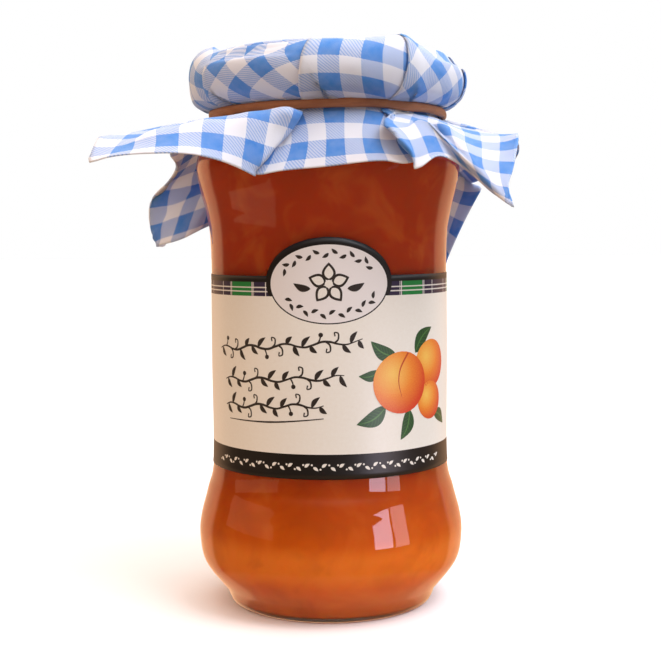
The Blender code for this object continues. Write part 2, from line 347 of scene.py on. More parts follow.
def spokeAngles():
    # Azimuths on the flat square, with points on every fold line
    low, high = pleats["edges"]
    tucked = pleats["tucked"]
    across = (gingham["right"], gingham["right"], gingham["left"], gingham["left"])
    along = (gingham["front"], gingham["back"], gingham["back"], gingham["front"])
    found = []
    for side in range(4):
        corner = math.degrees(math.atan2(across[side], -along[side])) % 360 - 90 * side
        stops = [low, high - tucked, high, corner, 90 + low - tucked, 90 + low]
        for start, end, count in zip(stops, stops[1:], pleats["spokes"]):
            found += [90 * side + start + (end - start) * k / count for k in range(count)]
    return found


def pleated(theta, distance, radius):
    # Turns a flat azimuth into the one on the jar, with the layer it lies in, where folds gather the cloth
    gather = max(1.0, distance / radius)
    low, high = pleats["edges"]
    side = math.floor((theta - low) / 90)
    along = theta - low - 90 * side
    hidden = 45 * (1 - 1 / gather)
    first = high - low
    if along < first - hidden:
        place, since = along, along
    elif along < first:
        place, since = first - hidden / 2 - abs(along - first + hidden / 2), None
    elif along < 90 - hidden:
        place, since = along - hidden, along - first
    else:
        place, since = 90 - 1.5 * hidden - abs(along - 90 + hidden / 2), None
    starts = pleats["starts"]
    start = float(np.interp(distance, [s[0] for s in starts], [s[1] for s in starts]))
    if since is None:
        middle = along > (first - hidden / 2 if along < first else 90 - hidden / 2)
        layer = 1.0 if middle else 0.0
    else:
        layer = 2.0 * max(0.0, 1 - since / (hidden / 2 + pleats["sinks"])) if hidden > 0.5 else 0.0
    return 90 * side + start + place * gather, layer


def skirtPleated(theta):
    # The same where the skirt leaves the elastic
    gather = puff[-1][2] / puff[-1][0]
    first = skirtFolds[0][0]
    theta = (theta - first) % 360 + first
    upTo = skirtFolds[1:] + [(first + 360, None, None, skirtFolds[0][3])]
    for (start, end, crease, side), (until, _, _, nextSide) in zip(skirtFolds, upTo):
        if theta <= end:
            middle = (start + end) / 2
            depth = (end - start) / 2 - abs(theta - middle)
            return crease + side * depth * gather, 1.0 if (theta > middle) == (side > 0) else 0.0
        if theta < until:
            onTop = 2.0 * max(0.0, 1 - (theta - end) / pleats["sinksAfter"]) if side > 0 else 0.0
            if nextSide < 0:
                onTop = max(onTop, 2.0 * max(0.0, 1 - (until - theta) / pleats["sinksBefore"]))
            return crease + (theta - end) * gather, onTop
    return theta, 0.0


def clothAtRest():
    # The cloth's flat places and its first places in the air, ring by ring from the crown to the hem
    angles = spokeAngles()
    turns = [math.radians(a) for a in angles]
    flat, placed = [], []
    top = puff[0]
    for share in (0.25, 0.5, 0.75, 1.0):
        ring = [(share * top[2] * math.sin(a), -share * top[2] * math.cos(a)) for a in turns]
        flat.append(ring)
        height = top[1] + 0.7 * (1 - share**2)
        placed.append([(u * top[0] / top[2], v * top[0] / top[2], height) for u, v in ring])
    knots = [np.array(knot) for knot in puff]
    for index, count in enumerate((3, 3, 3, 3, 3, 3, 1, 1)):
        for k in range(1, count + 1):
            radius, height, distance = routeThrough(knots, index + k / count, False)
            last = index == 7
            ring, real = [], []
            for a, turn in zip(angles, turns):
                azimuth, layer = skirtPleated(a) if last else pleated(a, distance, radius)
                aside = math.radians(azimuth)
                puckers = sum(size * math.sin(n * aside + turned) for size, n, turned in pleats["puckers"])
                nearElastic = float(np.interp(height, (126, 128, 129, 134), (0, 1, 1, 0)))
                shoulder = float(np.interp(height, (130, 137), (0, 1)))
                rise = float(np.interp((azimuth + 180) % 360 - 180, *zip(*swell))) * shoulder
                lidTop = float(np.interp(radius, *zip(*overLid)))
                risen = max(height + rise, min(height, lidTop))
                out = radius + layer * pleats["layer"] + nearElastic * puckers
                out += 0.3 * math.sin(3 * aside + 0.5)
                ring.append((distance * math.sin(turn), -distance * math.cos(turn)))
                real.append((out * math.sin(aside), -out * math.cos(aside), risen))
            flat.append(ring)
            placed.append(real)
    flat, placed = [np.array(ring) for ring in flat], [np.array(ring) for ring in placed]
    hem = np.array([hemFlat(a) for a in turns])
    marks, route = [], []
    for side, points in hemRoute.items():
        for along, *place in points:
            edge = gingham[side]
            marks.append(perimeter((along, edge) if side in ("front", "back") else (edge, along)))
            route.append(np.array(place))
    total = 2 * (gingham["right"] - gingham["left"] + gingham["back"] - gingham["front"])
    ends = []
    for point in hem:
        here = perimeter(point)
        after = next((i for i, mark in enumerate(marks) if mark > here), len(marks))
        low = marks[after - 1]
        high = marks[after] if after < len(marks) else total
        ends.append(routeThrough(route, after - 1 + (here - low) / (high - low), True))
    ends = np.array(ends)
    rows = gingham["rows"]
    turn = (placed[-1] + ends) / 2
    turn[:, 2] = placed[-1][:, 2] - 0.12 * (placed[-1][:, 2] - ends[:, 2])
    gripped = len(placed)
    for k in range(1, rows + 1):
        t = k / rows
        flat.append(flat[gripped - 1] * (1 - t) + hem * t)
        placed.append(placed[gripped - 1] * (1 - t) ** 2 + turn * 2 * t * (1 - t) + ends * t**2)
    return np.array(flat), np.array(placed), gripped, ends


def threadLists(flat):
    # Every pair of points that a thread joins, in lists whose pairs share no point: (first, second, length,
    # firmness)
    rowCount, around = flat.shape[:2]
    places = flat.reshape(-1, 2)
    found = []
    firm, shear = gingham["firm"], gingham["shear"]
    for rows, columns, hold in ((0, 1, firm), (1, 0, firm), (1, 1, shear), (1, -1, shear)):
        for start in range(2):
            fromRows = np.arange(start, rowCount - rows, 2) if rows else np.arange(rowCount)
            fromColumns = np.arange(around) if rows else np.arange(start, around, 2)
            i, j = (grid.ravel() for grid in np.meshgrid(fromRows, fromColumns, indexing="ij"))
            first, second = i * around + j, (i + rows) * around + (j + columns) % around
            rest = np.linalg.norm(places[first] - places[second], axis=-1, keepdims=True)
            found.append((first, second, rest, hold))
    return found


def fairShares(flat):
    # For each point, the shares of its neighbours that give its own place on the flat cloth. The same shares
    # of their places in the air are where it would lie if the cloth did not bend there.
    rowCount, around = flat.shape[:2]
    i, j = np.meshgrid(np.arange(rowCount), np.arange(around), indexing="ij")
    near, seen = [], []
    for rows in (-1, 0, 1):
        for columns in (-1, 0, 1):
            if rows or columns:
                inside = (i + rows >= 0) & (i + rows < rowCount)
                near.append((np.clip(i + rows, 0, rowCount - 1) * around + (j + columns) % around).ravel())
                seen.append(inside.ravel())
    near, seen = np.array(near).T, np.array(seen).T
    places = flat.reshape(-1, 2)
    gap = places[near] - places[:, None]
    weight = seen / ((gap**2).sum(axis=-1) + 1e-6)
    rows = np.concatenate([np.ones((*gap.shape[:2], 1)), gap], axis=-1)  # points, neighbours, 3
    square = np.einsum("pn,pni,pnj->pij", weight, rows, rows) + 1e-9 * np.eye(3)
    wanted = np.broadcast_to(np.array([1.0, 0.0, 0.0])[:, None], (len(places), 3, 1))
    answer = np.linalg.solve(square, wanted)[..., 0]
    return near, weight * np.einsum("pni,pi->pn", rows, answer)


def relaxCloth(flat, placed, gripped, ends, rounds):
    # Lets the skirt find its lengths: threads don't stretch, it bends softly, and nothing enters the jar
    first = gripped - 1
    flat, shape = flat[first:], placed[first:].shape
    points = placed[first:].reshape(-1, 3).copy()
    away = [np.linalg.norm(flat.reshape(-1, 2) - np.array(ridge[:2]), axis=-1) for ridge in ridges]
    aims = [distance.argmin() for distance in away]
    places = np.array([ridge[2:] for ridge in ridges])
    pull = np.exp(-0.5 * (np.array(away).T / gingham["pinch"]) ** 2)
    pull /= np.maximum(1.0, pull.sum(axis=1, keepdims=True))
    pull[: shape[1]] = 0
    weight = np.ones((len(points), 1))
    weight[: shape[1]] = 0
    threads = [(a, b, rest, weight[a], weight[b], firm) for a, b, rest, firm in threadLists(flat)]
    near, share = fairShares(flat)
    radii, heights = np.array(jarOutside[::-1]).T
    for turn in range(rounds):
        done = turn / rounds
        for a, b, rest, weightA, weightB, firm in threads:
            gap = points[b] - points[a]
            length = np.sqrt((gap * gap).sum(axis=1, keepdims=True)) + 1e-9
            over = 1 - rest / length
            over = np.where(over < 0, gingham["crush"] * over, over)
            shift = gap * (firm * over / (weightA + weightB + 1e-9))
            points[a] += weightA * shift
            points[b] -= weightB * shift
        fair = np.einsum("pn,pnk->pk", share, points[near])
        points += weight * (fair - points) * (gingham["softFirst"] * (1 - done) + gingham["softLast"] * done)
        points += gingham["ridgePull"] * pull @ (places - points[aims])
        points[-shape[1]:] += gingham["hemPull"] * (ends - points[-shape[1]:])
        radius = np.sqrt((points[:, :2] ** 2).sum(axis=1))
        out = np.maximum(1.0, np.interp(points[:, 2], heights, radii) / np.maximum(radius, 1e-6))
        points[shape[1]:, :2] *= out[shape[1]:, None]
    settled = placed.copy()
    settled[first:] = points.reshape(shape)
    return settled


def finer(grid):
    # Twice as many rows and spokes, on smooth curves through the old ones
    around = np.roll(grid, 1, axis=1), grid, np.roll(grid, -1, axis=1), np.roll(grid, -2, axis=1)
    between = (9 * (around[1] + around[2]) - around[0] - around[3]) / 16
    wide = np.stack([grid, between], axis=2).reshape(grid.shape[0], -1, grid.shape[2])
    padded = np.concatenate([2 * wide[:1] - wide[1:2], wide, 2 * wide[-1:] - wide[-2:-1]])
    middle = (9 * (padded[1:-2] + padded[2:-1]) - padded[:-3] - padded[3:]) / 16
    tall = np.empty((2 * len(wide) - 1, *wide.shape[1:]))
    tall[::2], tall[1::2] = wide, middle
    return tall


def makeCloth():
    flat, placed, gripped, ends = clothAtRest()
    placed = relaxCloth(flat, placed, gripped, ends, gingham["rounds"])
    flat, placed = finer(flat), finer(placed)
    shape = bmesh.new()
    flatLayer = shape.loops.layers.uv.new("flat")
    rings = [[shape.verts.new(Vector(point) * mm) for point in ring] for ring in placed]
    crown = shape.verts.new((0, 0, (puff[0][1] + 0.75) * mm))
    count = len(rings[0])
    places = {vert: flat[i][j] for i, ring in enumerate(rings) for j, vert in enumerate(ring)}
    places[crown] = (0.0, 0.0)
    for j in range(count):
        k = (j + 1) % count
        shape.faces.new((crown, rings[0][j], rings[0][k]))
        for inner, outer in zip(rings, rings[1:]):
            shape.faces.new((inner[j], outer[j], outer[k], inner[k]))
    for face in shape.faces:
        for loop in face.loops:
            loop[flatLayer].uv = places[loop.vert]
    mesh = meshOf("gingham_cover", shape)
    cloth = addObject("gingham_cover", mesh, clothMaterial(), "cloth", "cloth_cover")
    solid = cloth.modifiers.new("thickness", "SOLIDIFY")
    solid.thickness = gingham["thickness"] * mm
    solid.offset = 0.0


makeCloth()
print("cloth made")

# The glass and the jam

# The glass as (radius, height): its outside from the finish down, the foot in to the axis, the floor out from
# there, and the finish from the bore over the rim and down
jarProfile = [
    (27.6, 126.6), (27.6, 123.6), (31.2, 120.6), (34.1, 114.6), (33.4, 108.0), (31.7, 101.0), (30.7, 92.0),
    (30.7, 64.0), (30.7, 38.0), (32.4, 29.6), (34.2, 22.6), (34.6, 17.4), (33.4, 11.0), (28.8, 4.8),
]
jarFoot = [
    (27.6, 3.4), (27.0, 1.6), (26.4, 0.5), (25.4, 0.0), (22.0, 0.0), (20.5, 0.6), (19.0, 0.0), (0.0, 0.0),
]
jarFloor = [
    (0.0, 1.9), (18.0, 1.6), (24.4, 1.5), (26.3, 2.7), (27.9, 5.0), (30.4, 8.4), (32.1, 12.6), (32.6, 17.6),
]
jarFinish = [
    (25.4, 127.6), (26.2, 131.0), (26.2, 138.0), (26.9, 138.6), (29.4, 138.6), (30.2, 137.8), (30.2, 134.2),
    (30.4, 132.8), (30.0, 131.4), (27.8, 129.6),
]
glass = {
    "wall": 2.3,
    "tint": "#fbfdfb",
    "ior": 1.5,
    "wave": 14.29,  # how long the mould's waves are
    "steps": 144,
}
jam = {
    "level": 128.2,
    "intoGlass": 0.1,  # how far it reaches into the wall, so that no air gap shows
    "low": "#e47a20",  # painted light: paler low on the belly, where the white floor's glow lightens it
    "middle": "#d06008",
    # painted shade: darker towards the top, where the cloth shades the jar
    "high": "#ad3406",
    "foot": "#d76012",
    "pulp": "#f08a34",
    "deep": "#983008",
    "highFrom": (16.0, 46.0),  # the heights where each of these colours starts and where it is full
    "lowFrom": (21.5, 16.5),
    "footFrom": (14.5, 9.0),
    "lump": 11.0,
}


def smoothRoute(points, steps):
    points = [Vector(point) for point in points]
    last = len(points) - 1
    found = []
    for i in range(last):
        near = [points[min(max(i + k, 0), last)] for k in (-1, 0, 1, 2)]
        found += [onCurve(*near, k / steps) for k in range(steps)]
    return found + [points[-1]]


def turnedMesh(name, profile, steps):
    # Turns a closed profile, given as (radius, height), round the jar's axis
    shape = bmesh.new()
    rings = []
    for radius, height in profile:
        turns = [2 * math.pi * k / steps for k in range(steps if radius > 0 else 1)]
        rings.append([shape.verts.new(onJar(radius, turn, height)) for turn in turns])
    for first, second in zip(rings, rings[1:] + rings[:1]):
        if len(first) == len(second) == 1:
            continue
        for k in range(steps):
            places = ((first, k), (first, k + 1), (second, k + 1), (second, k))
            corners = [ring[place % len(ring)] for ring, place in places]
            shape.faces.new(list(dict.fromkeys(corners)))
    return meshOf(name, shape)


glassRoute = [(point.y, point.x) for point in reversed(smoothRoute(jarProfile[1:], 6))]


def radiusAt(height):
    return float(np.interp(height, *zip(*glassRoute)))


def jarInside():
    wall = [(radiusAt(h) - glass["wall"], h) for h in (22.6, 29.6, 38.0, 64.0, 92.0, 101.0, 108.0, 114.0)]
    return smoothRoute(jarFloor + wall + [(29.0, 119.6), (25.6, 123.8)] + jarFinish[:1], 5)


def glassMaterial():
    # Pressed soda-lime glass: clear, with the faint waviness that a mould leaves
    material, tree, shader = newMaterial("pressed_soda_lime_glass")
    place = addNode(tree, "TexCoord", out="Object")
    wave = addNode(tree, "TexNoise", {"Vector": place, "Scale": 1000 / glass["wave"], "Detail": 1.0})
    fillSockets(shader, {
        "Base Color": linear(glass["tint"]),
        "Normal": addNode(tree, "Bump", {"Strength": 0.08, "Distance": 0.0004, "Height": wave}),
        "Transmission Weight": 1.0,
        "Roughness": 0.0,
        "IOR": glass["ior"],
    })
    return material


def jamMaterial():
    # Cooked peach jam: wet, cloudy amber with soft lumps of fruit. Painted light by height: painted shade
    # darkens it towards the top, where the cloth shades the jar, a painted pale glow from the white floor
    # lightens the lower belly, and it turns darker again at the very foot
    material, tree, shader = newMaterial("cooked_peach_jam")
    place = addNode(tree, "TexCoord", out="Object")
    lump = {"Vector": place, "Scale": 1000 / jam["lump"], "Detail": 3.0, "Roughness": 0.55, "Distortion": 0.6}
    lumps = addNode(tree, "TexNoise", lump)
    height = addNode(tree, "SeparateXYZ", [place], 2)
    colour = linear(jam["middle"])
    # Painted light by height: painted shade towards the top, a painted pale glow of the floor on the lower
    # belly, and a darker foot
    for name in ("high", "low", "foot"):
        start, end = (edge * mm for edge in jam[name + "From"])
        reach = [height, start, end, 0.0, 1.0] if start < end else [height, end, start, 1.0, 0.0]
        share = addNode(tree, "MapRange", reach, interpolation_type="SMOOTHSTEP")
        colour = addNode(tree, "Mix", {0: share, 6: colour, 7: linear(jam[name])}, 2, data_type="RGBA")
    for name, full, most in (("pulp", 0.75, 0.24), ("deep", 0.28, 0.3)):
        share = addNode(tree, "MapRange", [lumps, 0.5, full, 0.0, most])
        colour = addNode(tree, "Mix", {0: share, 6: colour, 7: linear(jam[name])}, 2, data_type="RGBA")
    fillSockets(shader, {
        "Base Color": colour,
        "Roughness": 0.3,
        "IOR": 1.42,
        "Specular IOR Level": 0.04,  # it wets the glass, so hardly anything mirrors there
        "Subsurface Weight": 0.6,
        "Subsurface Radius": (1.0, 0.3, 0.1),
        "Subsurface Scale": 0.004,
    })
    return material


def makeJar():
    outside = smoothRoute(jarProfile, 6) + [Vector(point) for point in jarFoot]
    profile = outside + jarInside() + [Vector(point) for point in jarFinish[1:]]
    mesh = turnedMesh("jar_glass", profile, glass["steps"])
    addObject("jar_glass", mesh, glassMaterial(), "glass", "glass_jar")
    inside = [point for point in jarInside() if point.y < jam["level"]]
    filled = [Vector((point.x + (jam["intoGlass"] if point.x > 0 else 0), point.y - 0.1)) for point in inside]
    for inward, down in ((0, 0), (1.5, 0.4), (filled[-1].x, 0.2)):  # its top, to the middle
        filled.append(Vector((filled[len(inside) - 1].x - inward, jam["level"] - down)))
    addObject("peach_jam", turnedMesh("peach_jam", filled, glass["steps"]), jamMaterial(), "jam", "jam")


makeJar()
print("jar and jam made")

# The lid under the cloth

lid = {
    "lacquer": "#c9a64e",
    "paler": "#d9bd6c",
    "mottle": 3.333,  # how large the paler places are
}


def lidMaterial():
    # Tinplate with a gold lacquer, rolled and drawn: smooth, faintly uneven
    material, tree, shader = newMaterial("lacquered_tinplate")
    place = addNode(tree, "TexCoord", out="Object")
    mottle = addNode(tree, "TexNoise", {"Vector": place, "Scale": 1000 / lid["mottle"], "Detail": 2.0})
    colours = {0: mottle, 6: linear(lid["lacquer"]), 7: linear(lid["paler"])}
    colour = addNode(tree, "Mix", colours, 2, data_type="RGBA")
    fillSockets(shader, {"Base Color": colour, "Metallic": 1.0, "Roughness": 0.3})
    return material


for body in bpy.data.objects:
    if body.name.split(".")[0] == "lid" and body.type == "MESH":
        body.data.materials.clear()
        body.data.materials.append(lidMaterial())
print("lid lacquered")

# The elastic

elastic = {
    "height": 126.4,
    "radius": 30.05,
    "thick": 1.5,
    "tall": 2.3,
    "rib": 0.5,  # from one rib of the cover to the next
    "wear": 4.0,  # how long the stretched places are
    "steps": 220,  # points round the jar, and round the cord
    "sides": 14,
    "colour": "#8f4f2a",
    "worn": "#b57548",
}


def elasticMaterial():
    # A cord of rubber in a spun cover: matt brown with fine slanting ribs, paler where it is stretched
    material, tree, shader = newMaterial("covered_elastic")
    uv = addNode(tree, "UVMap", uv_map="flat")
    along, across = addNode(tree, "SeparateXYZ", [uv]).node.outputs[:2]
    slant = addNode(tree, "Math", [across, 0.6, along], operation="MULTIPLY_ADD")
    turns = addNode(tree, "Math", [slant, math.pi / elastic["rib"]], operation="MULTIPLY")
    wave = addNode(tree, "Math", [turns], operation="SINE")
    rib = addNode(tree, "Math", [wave], operation="ABSOLUTE")
    wear = addNode(tree, "TexNoise", {"Vector": uv, "Scale": 1 / elastic["wear"], "Detail": 4.0})
    colours = {0: wear, 6: linear(elastic["colour"]), 7: linear(elastic["worn"])}
    fillSockets(shader, {
        "Base Color": addNode(tree, "Mix", colours, 2, data_type="RGBA"),
        "Normal": addNode(tree, "Bump", {"Strength": 0.5, "Distance": 0.0001, "Height": rib}),
        "Roughness": 0.55,
    })
    return material


def makeElastic():
    shape = bmesh.new()
    flatLayer = shape.loops.layers.uv.new("flat")
    around, sides = elastic["steps"], elastic["sides"]
    length = 2 * math.pi * elastic["radius"]
    rings, places = [], {}
    for k in range(around):
        turn = 2 * math.pi * k / around
        lift = 0.25 * math.sin(3 * turn + 0.6) + 0.12 * math.sin(7 * turn)
        tall = elastic["tall"] * (1 + 0.06 * math.sin(11 * turn))
        ring = []
        for m in range(sides):
            a = 2 * math.pi * m / sides
            radius = elastic["radius"] + 0.5 * elastic["thick"] * math.cos(a)
            height = elastic["height"] + lift + 0.5 * tall * math.sin(a)
            ring.append(shape.verts.new(onJar(radius, turn, height)))
            places[ring[-1]] = (turn * elastic["radius"], a * 0.9)
        rings.append(ring)
    for k, (ring, after) in enumerate(zip(rings, rings[1:] + rings[:1])):
        for m in range(sides):
            n = (m + 1) % sides
            face = shape.faces.new((ring[m], after[m], after[n], ring[n]))
            for loop in face.loops:
                u, v = places[loop.vert]
                loop[flatLayer].uv = (u + (length if k == around - 1 and u == 0 else 0), v)
    addObject("elastic_cord", meshOf("elastic_cord", shape), elasticMaterial(), "elastic", "elastic_band")


makeElastic()
print("elastic made")

# The paper label

label = {
    "bottom": 36.8,
    "top": 85.8,
    "halfAngle": 150.0,
    "sheet": 0.12,
    "oval": (84.3, 15.8, 10.75),  # height of its centre, half width round the jar and half height
    "ovalLine": (83.9, 14.85, 9.65),
    "innerOval": (83.9, 14.5, 9.35),
    "stripTop": 42.9,
    "tartanBottom": 80.9,
    "tartanTop": 84.3,
    "tartanRepeat": 23.07,
    "tartanStart": -23.75,  # the middle of a green block, round the jar from the middle of the label
    "greenHalf": 3.45,
    # The pale lines along the band by height, and those across it by distance from a green block's middle
    "rows": ((82.85, 83.15), (81.85, 82.15)),
    "bars": ((3.62, 3.92), (4.15, 4.3), (7.7, 7.95)),
    "line": 0.8,  # how strong they are
    "fibre": 0.833,  # how long the clumps of fibre in the paper are
    "gap": 0.03,  # between the paper and the glass, where the glue is
    "columns": (24, 90),  # of points from the middle to the oval's edge, and from there to the label's
    "steps": 40,  # from the bottom to the top
    "shade": "#ede6dc",
    "ovalPaper": "#ece6e6",
    "paper": "#f3efe8",
    "ink": "#140f0d",
    "green": "#15803a",
    "navy": "#2b2140",
}

waist = radiusAt(64.0)


def labelRadius(height):
    return radiusAt(height) + label["gap"]


def labelMaterial():
    # Coated paper printed in four inks: satin cream, solid blacks, and a woven-look check in the band
    material, tree, shader = newMaterial("coated_printed_paper")
    uv = addNode(tree, "UVMap", uv_map="flat")
    across, height = addNode(tree, "SeparateXYZ", [uv]).node.outputs[:2]

    def between(value, low, high):
        over = addNode(tree, "Math", [value, low], operation="GREATER_THAN")
        under = addNode(tree, "Math", [value, high], operation="LESS_THAN")
        return addNode(tree, "Math", [over, under], operation="MULTIPLY")

    def insideOval(centre, halfWidth, halfHeight):
        squares = []
        for value, middle, half in ((across, 0.0, halfWidth), (height, centre, halfHeight)):
            away = addNode(tree, "Math", [value, middle], operation="SUBTRACT")
            share = addNode(tree, "Math", [away, half], operation="DIVIDE")
            squares.append(addNode(tree, "Math", [share, share], operation="MULTIPLY"))
        total = addNode(tree, "Math", squares, operation="ADD")
        return addNode(tree, "Math", [total, 1.0], operation="LESS_THAN")

    ink, paper = linear(label["ink"]), linear(label["paper"])
    half = label["tartanRepeat"] / 2
    moved = addNode(tree, "Math", [across, half - label["tartanStart"]], operation="ADD")
    along = addNode(tree, "Math", [moved, 2 * half], operation="FLOORED_MODULO")
    past = addNode(tree, "Math", [along, half], operation="SUBTRACT")
    aside = addNode(tree, "Math", [past], operation="ABSOLUTE")  # from the middle of the nearest green block
    green = addNode(tree, "Math", [aside, label["greenHalf"]], operation="LESS_THAN")
    colours = {0: green, 6: linear(label["navy"]), 7: linear(label["green"])}
    tartan = addNode(tree, "Mix", colours, 2, data_type="RGBA")
    lines = [(height, *edges) for edges in label["rows"]] + [(aside, *edges) for edges in label["bars"]]
    for line in lines:
        share = addNode(tree, "Math", [between(*line), label["line"]], operation="MULTIPLY")
        tartan = addNode(tree, "Mix", {0: share, 6: tartan, 7: paper}, 2, data_type="RGBA")

    grain = addNode(tree, "TexNoise", {"Vector": uv, "Scale": 1 / label["fibre"], "Detail": 5.0})
    strip = addNode(tree, "Math", [height, label["stripTop"]], operation="LESS_THAN")
    head = addNode(tree, "Math", [height, label["tartanBottom"]], operation="GREATER_THAN")
    crescent = addNode(tree, "Math", [insideOval(*label["oval"]), head], operation="MULTIPLY")
    colour = paper
    for share, paint in (
        (grain, linear(label["shade"])),
        (strip, ink),
        (head, ink),
        (between(height, label["tartanBottom"], label["tartanTop"]), tartan),
        (crescent, ink),
        (insideOval(*label["ovalLine"]), ink),
        (insideOval(*label["innerOval"]), linear(label["ovalPaper"])),
    ):
        colour = addNode(tree, "Mix", {0: share, 6: colour, 7: paint}, 2, data_type="RGBA")
    fillSockets(shader, {
        "Base Color": colour,
        "Normal": addNode(tree, "Bump", {"Strength": 0.15, "Distance": 0.0001, "Height": grain}),
        "Roughness": 0.42,
        "IOR": 1.5,
    })
    return material


def makeLabel():
    centre, halfWidth, halfHeight = label["oval"]
    reach = math.radians(label["halfAngle"]) * waist
    inner, outer = label["columns"]
    edge = [halfWidth * math.sin(math.pi / 2 * k / inner) for k in range(-inner, inner + 1)]
    side = [halfWidth + (reach - halfWidth) * k / outer for k in range(1, outer + 1)]
    shape = bmesh.new()
    flatLayer = shape.loops.layers.uv.new("flat")
    rings, places = [], {}
    for s in [-s for s in reversed(side)] + edge + side:
        top = label["top"]
        if abs(s) < halfWidth:
            top = max(top, centre + halfHeight * math.sqrt(1 - (s / halfWidth) ** 2))
        ring = []
        for k in range(label["steps"] + 1):
            height = label["bottom"] + (top - label["bottom"]) * k / label["steps"]
            ring.append(shape.verts.new(onJar(labelRadius(height), s / waist, height)))
            places[ring[-1]] = (s, height)
        rings.append(ring)
    for first, second in zip(rings, rings[1:]):
        for k in range(label["steps"]):
            face = shape.faces.new((first[k], second[k], second[k + 1], first[k + 1]))
            for loop in face.loops:
                loop[flatLayer].uv = places[loop.vert]
    paper = addObject("paper_label", meshOf("paper_label", shape, False), labelMaterial(), "paper", "label")
    solid = paper.modifiers.new("thickness", "SOLIDIFY")
    solid.thickness = label["sheet"] * mm
    solid.offset = 1.0


makeLabel()
print("label made")

# The print on it: shapes of ink laid on the paper, given as (distance round the jar, height)

motif = {
    "lift": 0.02,  # how far one ink lies over the next
    "fruits": ((29.4, 63.6, 6.3), (29.0, 54.4, 5.0), (18.6, 59.6, 8.0)),  # the one in front last
    "fruitLeaves": (
        (23.0, 66.6, 9.0, 3.8, 42), (17.0, 66.0, 8.0, 3.6, 150), (14.0, 54.0, 8.6, 4.0, 208),
        (21.0, 53.0, 8.0, 3.8, -110), (31.0, 51.0, 7.0, 3.4, -30), (12.4, 62.6, 5.5, 2.6, 190),
    ),
    "vines": ((-33.0, 67.6, 41.0, 2.6), (-30.5, 60.0, 34.0, 1.6), (-30.5, 53.6, 29.0, 1.2)),
    "garland": (12.4, 7.3),  # half width and half height
    "foot": 39.8,
    "speck": 0.333,  # how large the uneven places of the ink are
    "black": ("#1f1916", "#3b322d"),
    "white": ("#f6f2ec", "#e2dad0"),
    "cleft": ("#b8381a", "#c9501f"),
    "orange": "#ef8a2c",
    "blush": "#d8431f",
    "yellow": "#f7c25a",
    "leafDark": "#1d3c22",
    "leafMiddle": "#2f5a30",
    "leafLight": "#4f7f3f",
}


def inkMaterial(name, paint):
    # Offset ink on coated paper: flat and satin, and it breaks up a little at the edge of a tone
    material, tree, shader = newMaterial(name)
    flat, own = (addNode(tree, "UVMap", uv_map=layer) for layer in ("flat", "own"))
    speck = addNode(tree, "TexNoise", {"Vector": flat, "Scale": 1 / motif["speck"], "Detail": 3.0})
    if callable(paint):
        colour = paint(tree, own, speck)
    else:
        first, second = (linear(tone) for tone in paint)
        colour = addNode(tree, "Mix", {0: speck, 6: first, 7: second}, 2, data_type="RGBA")
    fillSockets(shader, {"Base Color": colour, "Roughness": 0.4})
    return material


def paintFruit(tree, own, speck):
    # Yellow where the light falls on it, then orange, then a red blush
    squares = []
    for value, lit in zip(addNode(tree, "SeparateXYZ", [own]).node.outputs[:2], (-0.35, 0.3)):
        aside = addNode(tree, "Math", [value, lit], operation="SUBTRACT")
        squares.append(addNode(tree, "Math", [aside, aside], operation="MULTIPLY"))
    total = addNode(tree, "Math", squares, operation="ADD")
    away = addNode(tree, "Math", [total], operation="SQRT")
    evenly = addNode(tree, "Math", [speck, 0.5], operation="SUBTRACT")
    uneven = addNode(tree, "Math", [evenly, 0.5, away], operation="MULTIPLY_ADD")
    colour = linear(motif["yellow"])
    for tone, start, end in (("orange", 0.05, 0.75), ("blush", 0.7, 1.35)):
        share = addNode(tree, "MapRange", [uneven, start, end, 0.0, 1.0])
        colour = addNode(tree, "Mix", {0: share, 6: colour, 7: linear(motif[tone])}, 2, data_type="RGBA")
    return colour


def paintLeaf(tree, own, speck):
    # A dark blade with a pale rib down the middle, and fainter veins that slant from it
    along, across = addNode(tree, "SeparateXYZ", [own]).node.outputs[:2]
    side = addNode(tree, "Math", [across], operation="ABSOLUTE")
    rib = addNode(tree, "Math", [side, 0.09], operation="LESS_THAN")
    slant = addNode(tree, "Math", [side, -0.4, along], operation="MULTIPLY_ADD")
    count = addNode(tree, "Math", [slant, 4.5], operation="MULTIPLY")
    branch = addNode(tree, "Math", [count], operation="FRACT")
    isVein = addNode(tree, "Math", [branch, 0.14], operation="LESS_THAN")
    faint = addNode(tree, "Math", [isVein, 0.6], operation="MULTIPLY")
    vein = addNode(tree, "Math", [rib, faint], operation="MAXIMUM")
    dark, middle, light = (linear(motif[tone]) for tone in ("leafDark", "leafMiddle", "leafLight"))
    blade = addNode(tree, "Mix", {0: speck, 6: dark, 7: middle}, 2, data_type="RGBA")
    return addNode(tree, "Mix", {0: vein, 6: blade, 7: light}, 2, data_type="RGBA")


def discShape(s, height, radius, flatten=1.0):
    turns = [2 * math.pi * k / 36 for k in range(37)]
    rows = []
    for share in (0.0, 0.2, 0.4, 0.6, 0.8, 1.0):
        own = [(share * math.cos(turn), share * math.sin(turn)) for turn in turns]
        rows.append([(s + radius * x, height + radius * flatten * y, x, y) for x, y in own])
    return rows


def leafShape(s, height, length, width, degrees, bend=0.12):
    # A pointed leaf that starts at this place
    turn = math.radians(degrees)
    rows = []
    for k in range(15):
        t = k / 14
        half = 0.5 * width * (math.sin(math.pi * t**0.8)) ** 0.9 if 0 < k < 14 else 0.0
        row = []
        for across in (-1, -0.5, 0, 0.5, 1):
            x, y = t * length, across * half + bend * length * math.sin(math.pi * t)
            aside = s + x * math.cos(turn) - y * math.sin(turn)
            up = height + x * math.sin(turn) + y * math.cos(turn)
            row.append((aside, up, 2 * t - 1, across))
        rows.append(row)
    return rows


